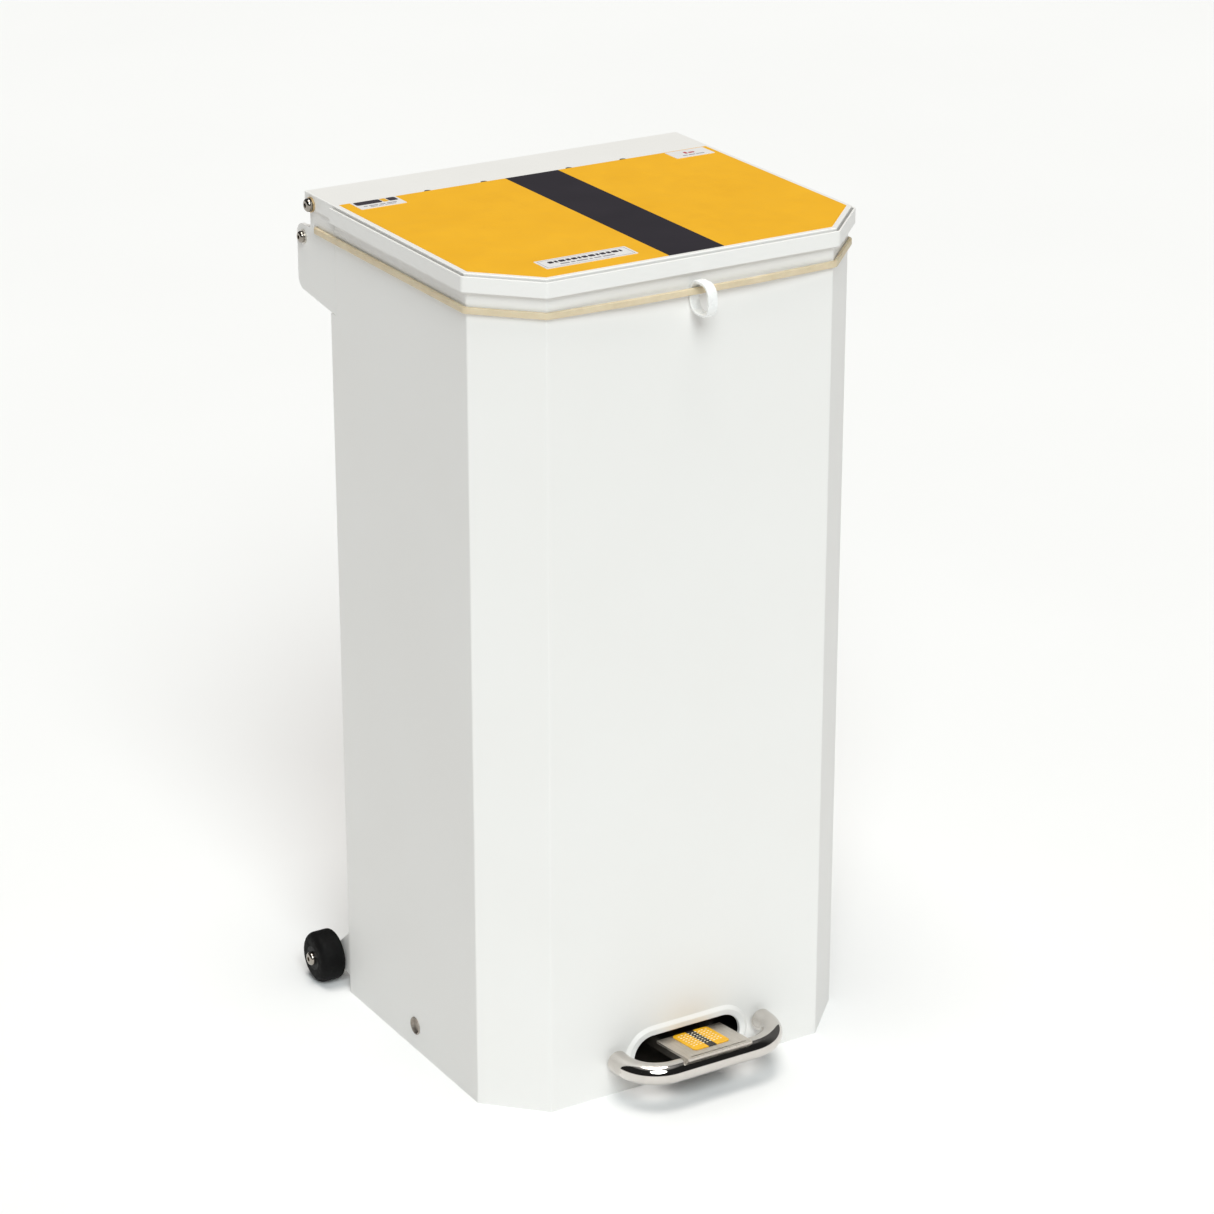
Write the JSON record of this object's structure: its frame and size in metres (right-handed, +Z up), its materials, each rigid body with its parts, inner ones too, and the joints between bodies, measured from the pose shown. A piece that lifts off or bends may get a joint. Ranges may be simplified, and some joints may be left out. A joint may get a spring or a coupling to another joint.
{
  "type": "pedal bin",
  "caption": "Ward waste bin in white sheet steel with a chamfered front, a foot pedal and push rod that lift a hinged lid, a bag band, a rear handle and rear wheels.",
  "frame": {"origin": "on the floor, at the centre of the bin's outer box", "axes": "+Z up, -Y towards the pedal and the front panel, +Y towards the hinge and the wheels, +X to the right seen from the front"},
  "size_m": [0.4452, 0.428, 0.8006],
  "materials": {
    "powder_coat": "gloss",
    "chrome": "polished",
    "dark_chrome": "polished",
    "axle_steel": "plain",
    "black_paint": "satin",
    "brushed_steel": "brushed",
    "bright_steel": "bright",
    "zinc_steel": "zinc plated",
    "brass": "satin",
    "dark_rivet": "satin",
    "black_rubber": "matt",
    "tyre_rubber": "matt",
    "hub_plastic": "matt",
    "band_rubber": "matt",
    "pull_plastic": "gloss",
    "nylon": "matt",
    "label_yellow": "satin film",
    "label_black": "satin film",
    "sticker": "satin film",
    "pad_yellow": "embossed film",
    "pad_black": "embossed film"
  },
  "bodies": {
    "body": {"body_shell": "powder_coat", "back_panel": "powder_coat", "floor_tray": "powder_coat", "base_plate": "black_paint", "left_hinge_ear": "powder_coat", "right_hinge_ear": "powder_coat", "rear_handle_tube": "powder_coat", "handle_end_plugs": "nylon", "handle_washers": "bright_steel", "handle_screws": "dark_chrome", "hinge_screws": "dark_chrome", "hinge_nuts": "zinc_steel", "pedal_axle": "axle_steel", "axle_collars": "zinc_steel", "spine_cover": "powder_coat", "spine_screws": "zinc_steel", "rod_guides": "nylon", "left_wheel_bracket": "powder_coat", "right_wheel_bracket": "powder_coat", "wheel_spacers": "zinc_steel", "wheel_screws": "dark_chrome", "wheel_nuts": "zinc_steel", "bag_band": "band_rubber", "band_knots": "band_rubber"},
    "lid": {"lid_pan": "powder_coat", "lid_trim_strip": "powder_coat", "lid_label_yellow": "label_yellow", "lid_stripe_black": "label_black", "front_notice_sticker": "sticker", "rear_left_sticker": "sticker", "rear_right_sticker": "sticker", "lid_lift_bracket": "zinc_steel", "lid_rivets": "dark_rivet", "lift_pin": "zinc_steel", "hinge_bushes": "brass", "lid_buffers": "black_rubber"},
    "pedal": {"pedal_bar": "chrome", "pedal_bar_caps": "chrome", "pedal_plate": "brushed_steel", "pedal_front_strip": "brushed_steel", "pedal_frame": "black_paint", "pedal_tail_bar": "zinc_steel", "pedal_bushes": "nylon", "pedal_pad_yellow": "pad_yellow", "pedal_pad_stripe": "pad_black"},
    "lift_rod": {"push_rod": "zinc_steel", "rod_clevis": "zinc_steel", "clevis_pin": "zinc_steel", "rod_head": "zinc_steel"},
    "left_wheel": {"left_wheel_hub": "hub_plastic", "left_wheel_tyre": "tyre_rubber"},
    "right_wheel": {"right_wheel_hub": "hub_plastic", "right_wheel_tyre": "tyre_rubber"},
    "band_pull": {"band_pull_ring": "pull_plastic"}
  },
  "joints": [
    {"name": "lid_hinge", "type": "hinge", "parent": "body", "child": "lid", "pos_m": [0, 0.178, 0.79], "axis": [-1, 0, 0], "range_deg": [0, 68]},
    {"name": "pedal_pivot", "type": "hinge", "parent": "body", "child": "pedal", "pos_m": [0, 0.016, 0.025], "axis": [1, 0, 0], "range_deg": [0, 6.42]},
    {"name": "rod_slide", "type": "slide", "parent": "body", "child": "lift_rod", "axis": [0, 0, 1], "range_m": [0, 0.0168]},
    {"name": "left_wheel_spin", "type": "hinge", "parent": "body", "child": "left_wheel", "pos_m": [-0.20565, 0.187, 0.0265], "axis": [-1, 0, 0], "continuous": true},
    {"name": "right_wheel_spin", "type": "hinge", "parent": "body", "child": "right_wheel", "pos_m": [0.20565, 0.187, 0.0265], "axis": [-1, 0, 0], "continuous": true},
    {"name": "band_pull_slide", "type": "slide", "parent": "body", "child": "band_pull", "axis": [1, 0, 0], "range_m": [-0.05, 0.05]}
  ],
  "couplings": [
    {"joint": "pedal_pivot", "follows": "lid_hinge", "ratio": 0.094265},
    {"joint": "rod_slide", "follows": "lid_hinge", "m_per_rad": 0.014133}
  ]
}
